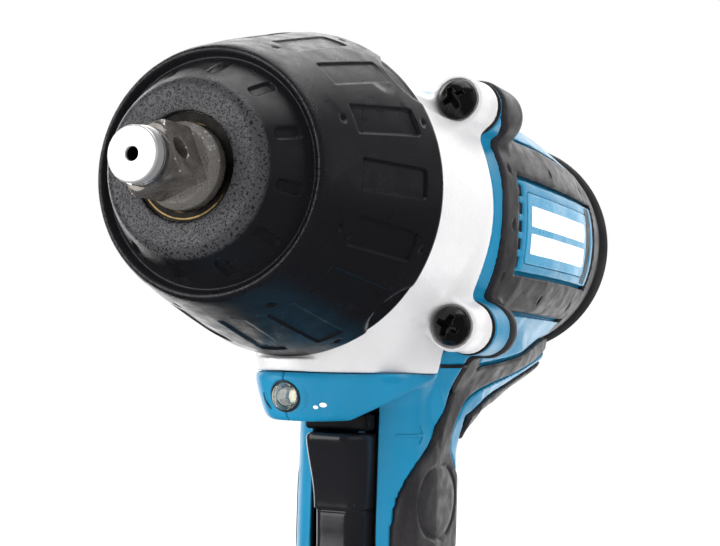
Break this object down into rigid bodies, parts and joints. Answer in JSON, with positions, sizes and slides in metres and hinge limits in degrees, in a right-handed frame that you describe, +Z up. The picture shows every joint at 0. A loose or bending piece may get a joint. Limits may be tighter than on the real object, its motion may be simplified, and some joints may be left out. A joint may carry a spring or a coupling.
{
  "type": "impact wrench",
  "caption": "Cordless half-inch impact wrench with a rubber-nosed hammer case, clamshell housing with soft grip, trigger, and slide-on battery pack.",
  "frame": {"origin": "on the battery pack's flat underside, below the drive axis, in the plane of symmetry", "axes": "+X forward along the drive axis, +Y to the tool's left, +Z up from the battery's underside"},
  "size_m": [0.2589, 0.0816, 0.2768],
  "materials": {
    "bright_steel": "ground, with a rough blasted shoulder",
    "hardened_steel": "oiled, machined",
    "spring_steel": "drawn wire",
    "dark_screw_steel": "black oxide",
    "cast_aluminium": "fine die-cast texture, satin",
    "black_rubber": "matt, fine grain",
    "soft_overmould": "matt, fine grain",
    "teal_housing": "satin, fine spark texture",
    "black_plastic": "satin",
    "battery_plastic": "satin, fine spark texture",
    "white_plate": "smooth",
    "bronze": "sintered, oiled",
    "brass": "turned",
    "nickel_strip": "rolled strip",
    "copper": "enamelled",
    "lamination_steel": "stamped",
    "ferrite": "sintered",
    "carbon": "pressed",
    "cell_sleeve": "plastic sleeve",
    "lamp_chip": "phosphor",
    "clear_lens": "clear"
  },
  "bodies": {
    "tool": {"trigger_spring": "spring_steel", "housing_left": "teal_housing", "housing_right": "teal_housing", "overmould_left": "soft_overmould", "overmould_right": "soft_overmould", "rear_cover": "black_plastic", "rear_bumper": "black_rubber", "rear_screws": "dark_screw_steel", "housing_screws": "dark_screw_steel", "hammer_case": "cast_aluminium", "case_screws": "dark_screw_steel", "case_gasket": "black_rubber", "bumper": "black_rubber", "anvil_bushing": "bronze", "nose_ring": "brass", "ring_gear": "hardened_steel", "gearbox_plate": "black_plastic", "spindle_bearing": "bright_steel", "rotor_front_bearing": "bright_steel", "rotor_rear_bearing": "bright_steel", "motor_yoke": "lamination_steel", "motor_magnets": "ferrite", "brush_holder": "black_plastic", "carbon_brushes": "carbon", "brush_springs": "spring_steel", "switch_unit": "black_plastic", "lamp_emitter": "lamp_chip", "lamp_lens": "clear_lens", "terminal_block": "black_plastic", "terminal_blades": "brass", "hook_inserts": "brass", "nameplates": "white_plate"},
    "anvil_body": {"anvil": "bright_steel", "socket_ring": "bright_steel", "socket_o_ring": "black_rubber"},
    "spindle_body": {"spindle": "hardened_steel", "planet_pins": "bright_steel", "cam_balls": "bright_steel", "hammer_spring": "spring_steel"},
    "hammer_body": {"hammer": "hardened_steel"},
    "planet_body_1": {"planet_gear_1": "hardened_steel"},
    "planet_body_2": {"planet_gear_2": "hardened_steel"},
    "rotor_body": {"rotor_shaft": "hardened_steel", "rotor_core": "lamination_steel", "rotor_windings": "copper", "commutator": "copper", "fan": "black_plastic"},
    "trigger_body": {"trigger": "black_plastic"},
    "lever_body": {"direction_lever": "black_plastic"},
    "battery_body": {"battery_lower_case": "battery_plastic", "battery_upper_case": "battery_plastic", "battery_cells": "cell_sleeve", "cell_straps": "nickel_strip", "battery_terminals": "brass", "battery_screws": "dark_screw_steel", "latch_spring": "spring_steel"},
    "latch_body": {"battery_latch": "black_plastic"}
  },
  "joints": [
    {"name": "spindle_spin", "type": "hinge", "parent": "tool", "child": "spindle_body", "pos_m": [0.03, 0, 0.236], "axis": [1, 0, 0], "continuous": true},
    {"name": "anvil_spin", "type": "hinge", "parent": "tool", "child": "anvil_body", "pos_m": [0.1, 0, 0.236], "axis": [1, 0, 0], "continuous": true},
    {"name": "rotor_spin", "type": "hinge", "parent": "tool", "child": "rotor_body", "pos_m": [-0.05, 0, 0.236], "axis": [1, 0, 0], "continuous": true},
    {"name": "planet_1_spin", "type": "hinge", "parent": "spindle_body", "child": "planet_body_1", "pos_m": [0.0175, 0, 0.2228], "axis": [1, 0, 0], "continuous": true},
    {"name": "planet_2_spin", "type": "hinge", "parent": "spindle_body", "child": "planet_body_2", "pos_m": [0.0175, 0, 0.2492], "axis": [1, 0, 0], "continuous": true},
    {"name": "hammer_slide", "type": "slide", "parent": "spindle_body", "child": "hammer_body", "axis": [-1, 0, 0], "range_m": [0, 0.01], "stiffness_N_per_m": 12000, "springref_m": -0.004, "deforming": ["hammer_spring"]},
    {"name": "trigger_pull", "type": "slide", "parent": "tool", "child": "trigger_body", "axis": [-1, 0, 0], "range_m": [0, 0.0065], "stiffness_N_per_m": 1200, "springref_m": -0.004, "deforming": ["trigger_spring"]},
    {"name": "direction_lever_slide", "type": "slide", "parent": "tool", "child": "lever_body", "axis": [0, 1, 0], "range_m": [-0.004, 0.004]},
    {"name": "battery_slide", "type": "slide", "parent": "tool", "child": "battery_body", "axis": [1, 0, 0], "range_m": [0, 0.09]},
    {"name": "latch_press", "type": "slide", "parent": "battery_body", "child": "latch_body", "axis": [0, 0, -1], "range_m": [0, 0.004], "stiffness_N_per_m": 1500, "springref_m": -0.003, "deforming": ["latch_spring"]}
  ],
  "couplings": [
    {"joint": "anvil_spin", "follows": "spindle_spin", "ratio": 1},
    {"joint": "rotor_spin", "follows": "spindle_spin", "ratio": 7.3333},
    {"joint": "planet_1_spin", "follows": "spindle_spin", "ratio": -2.375},
    {"joint": "planet_2_spin", "follows": "spindle_spin", "ratio": -2.375}
  ]
}
